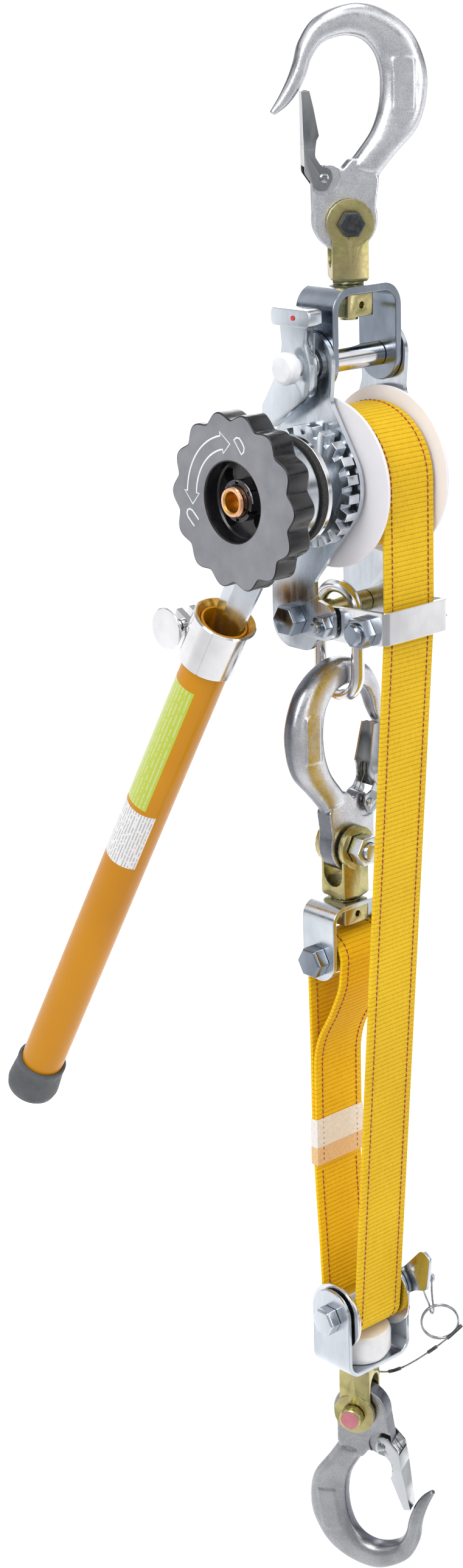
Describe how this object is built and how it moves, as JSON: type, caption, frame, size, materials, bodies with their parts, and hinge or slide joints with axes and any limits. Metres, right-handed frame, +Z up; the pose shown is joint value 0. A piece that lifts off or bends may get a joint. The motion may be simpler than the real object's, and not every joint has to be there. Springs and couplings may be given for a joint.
{
  "type": "come along winch",
  "caption": "Hand-operated web-strap ratchet hoist with a lever, a handwheel, a strap drum and swivelling safety hooks at each end.",
  "frame": {"origin": "the seat of the top hook, where the anchor bears", "axes": "+Z up the load line, +X along the drum shaft away from the handwheel, -Y towards the strap's free front leg"},
  "size_m": [0.1665, 0.3613, 1.1055],
  "materials": {
    "forged_steel": "oiled forged steel, satin with soft highlights",
    "zinc_steel": "bright zinc plating, satin",
    "polished_steel": "polished plate",
    "yellow_zinc": "yellow chromate zinc plating",
    "dark_steel": "dark oxide",
    "drum_plastic": "moulded white plastic",
    "wheel_plastic": "moulded charcoal plastic",
    "brake_lining": "matt friction lining",
    "copper_shaft": "copper-coloured plating",
    "amber_paint": "glossy amber paint",
    "grey_rubber": "moulded rubber",
    "webbing": "ribbed polyester webbing",
    "lanyard_steel": "drawn wire"
  },
  "bodies": {
    "top_hook": {"top_hook": "forged_steel", "top_hook_bolt": "dark_steel", "top_hook_nut": "dark_steel"},
    "top_latch": {"top_hook_latch": "zinc_steel"},
    "top_clevis": {"top_clevis": "yellow_zinc", "top_swivel_nut": "yellow_zinc"},
    "bail": {"bail": "zinc_steel"},
    "frame": {"side_plate_left": "zinc_steel", "side_plate_right": "zinc_steel", "upper_spacer": "polished_steel", "upper_bolt": "zinc_steel", "lower_bolt": "zinc_steel", "lower_nut": "zinc_steel", "lower_spacer": "yellow_zinc", "strap_guide": "polished_steel", "guide_screw_left": "zinc_steel", "guide_screw_right": "zinc_steel", "guide_bolt": "zinc_steel", "pawl_spring": "dark_steel", "connecting_ring": "polished_steel", "anchor_bracket": "zinc_steel", "anchor_bolt": "zinc_steel", "anchor_roller": "polished_steel", "mid_hook": "forged_steel", "mid_hook_bolt": "zinc_steel", "mid_hook_nut": "zinc_steel", "mid_clevis": "yellow_zinc", "mid_swivel_nut": "yellow_zinc", "strap_front_leg": "webbing", "strap_back_leg": "webbing", "strap_anchor_loop": "webbing"},
    "holding_pawl": {"holding_pawl": "zinc_steel"},
    "drum": {"drum": "drum_plastic", "drum_shaft": "copper_shaft", "ratchet_wheel": "zinc_steel", "brake_hub": "zinc_steel", "pressure_disc": "polished_steel", "friction_disc": "brake_lining", "strap_coil": "webbing"},
    "handwheel": {"handwheel": "wheel_plastic"},
    "lever": {"lever": "zinc_steel", "handle_collar": "polished_steel", "handle_tube": "amber_paint", "handle_cap": "grey_rubber", "clamp_nut": "zinc_steel"},
    "clamp_screw": {"clamp_screw": "zinc_steel"},
    "mid_latch": {"mid_hook_latch": "zinc_steel"},
    "block": {"block_frame": "zinc_steel", "strap_sheave_wrap": "webbing", "sheave_bolt": "zinc_steel", "axle_wing": "zinc_steel", "hitch_ring": "lanyard_steel", "ring_link": "lanyard_steel", "lanyard": "lanyard_steel"},
    "sheave": {"sheave": "polished_steel"},
    "bottom_swivel": {"bottom_clevis": "yellow_zinc", "bottom_swivel_nut": "polished_steel", "bottom_hook_pin": "yellow_zinc"},
    "bottom_hook": {"bottom_hook": "forged_steel"},
    "bottom_latch": {"bottom_hook_latch": "zinc_steel"}
  },
  "joints": [
    {"name": "top_latch_pivot", "type": "hinge", "parent": "top_hook", "child": "top_latch", "pos_m": [-0.01254, 0.00911, -0.084], "axis": [0.5878, 0.809, 0], "range_deg": [0, 24], "stiffness_Nm_per_rad": 0.05, "springref_deg": -28.65},
    {"name": "top_clevis_pivot", "type": "hinge", "parent": "top_hook", "child": "top_clevis", "pos_m": [0, 0, -0.112], "axis": [0.5878, 0.809, 0], "range_deg": [-20, 20]},
    {"name": "top_swivel", "type": "hinge", "parent": "top_clevis", "child": "bail", "pos_m": [0, 0, -0.15], "axis": [0, 0, 1], "continuous": true},
    {"name": "bail_pivot", "type": "hinge", "parent": "bail", "child": "frame", "pos_m": [0, 0, -0.197], "axis": [1, 0, 0], "range_deg": [-35, 35]},
    {"name": "holding_pawl_pivot", "type": "hinge", "parent": "frame", "child": "holding_pawl", "pos_m": [-0.043, 0, -0.197], "axis": [1, 0, 0], "range_deg": [0, 18], "stiffness_Nm_per_rad": 0.1, "springref_deg": -28.65},
    {"name": "drum_spin", "type": "hinge", "parent": "frame", "child": "drum", "pos_m": [0, -0.006, -0.272], "axis": [-1, 0, 0], "range_deg": [0, 190.98]},
    {"name": "handwheel_spin", "type": "hinge", "parent": "frame", "child": "handwheel", "pos_m": [-0.1, -0.006, -0.272], "axis": [-1, 0, 0], "range_deg": [0, 191]},
    {"name": "lever_swing", "type": "hinge", "parent": "frame", "child": "lever", "pos_m": [-0.07, -0.006, -0.272], "axis": [1, 0, 0], "range_deg": [-25, 60]},
    {"name": "clamp_screw_turn", "type": "hinge", "parent": "lever", "child": "clamp_screw", "pos_m": [-0.07, 0.08477, -0.37184], "axis": [1, 0, 0], "continuous": true},
    {"name": "mid_latch_pivot", "type": "hinge", "parent": "frame", "child": "mid_latch", "pos_m": [0.0155, 0.011, -0.498], "axis": [0, -1, 0], "range_deg": [0, 24], "stiffness_Nm_per_rad": 0.05, "springref_deg": -28.65},
    {"name": "block_lift", "type": "slide", "parent": "frame", "child": "block", "axis": [0, 0, 1], "range_m": [0, 0.075], "deforming": ["strap_front_leg", "strap_back_leg"]},
    {"name": "sheave_spin", "type": "hinge", "parent": "block", "child": "sheave", "pos_m": [0, 0.001, -0.871], "axis": [-1, 0, 0], "range_deg": [0, 272.07]},
    {"name": "bottom_swivel_turn", "type": "hinge", "parent": "block", "child": "bottom_swivel", "pos_m": [0, 0.004, -0.914], "axis": [0, 0, 1], "continuous": true},
    {"name": "bottom_hook_pivot", "type": "hinge", "parent": "bottom_swivel", "child": "bottom_hook", "pos_m": [0, 0.004, -0.955], "axis": [0.9063, 0.4226, 0], "range_deg": [-20, 20]},
    {"name": "bottom_latch_pivot", "type": "hinge", "parent": "bottom_hook", "child": "bottom_latch", "pos_m": [0.00823, -0.01364, -0.9804], "axis": [0.9063, 0.4226, 0], "range_deg": [0, 24], "stiffness_Nm_per_rad": 0.05, "springref_deg": -28.65}
  ],
  "couplings": [
    {"joint": "handwheel_spin", "follows": "drum_spin", "ratio": 1},
    {"joint": "block_lift", "follows": "drum_spin", "m_per_rad": 0.0225},
    {"joint": "sheave_spin", "follows": "drum_spin", "ratio": 1.4241}
  ]
}
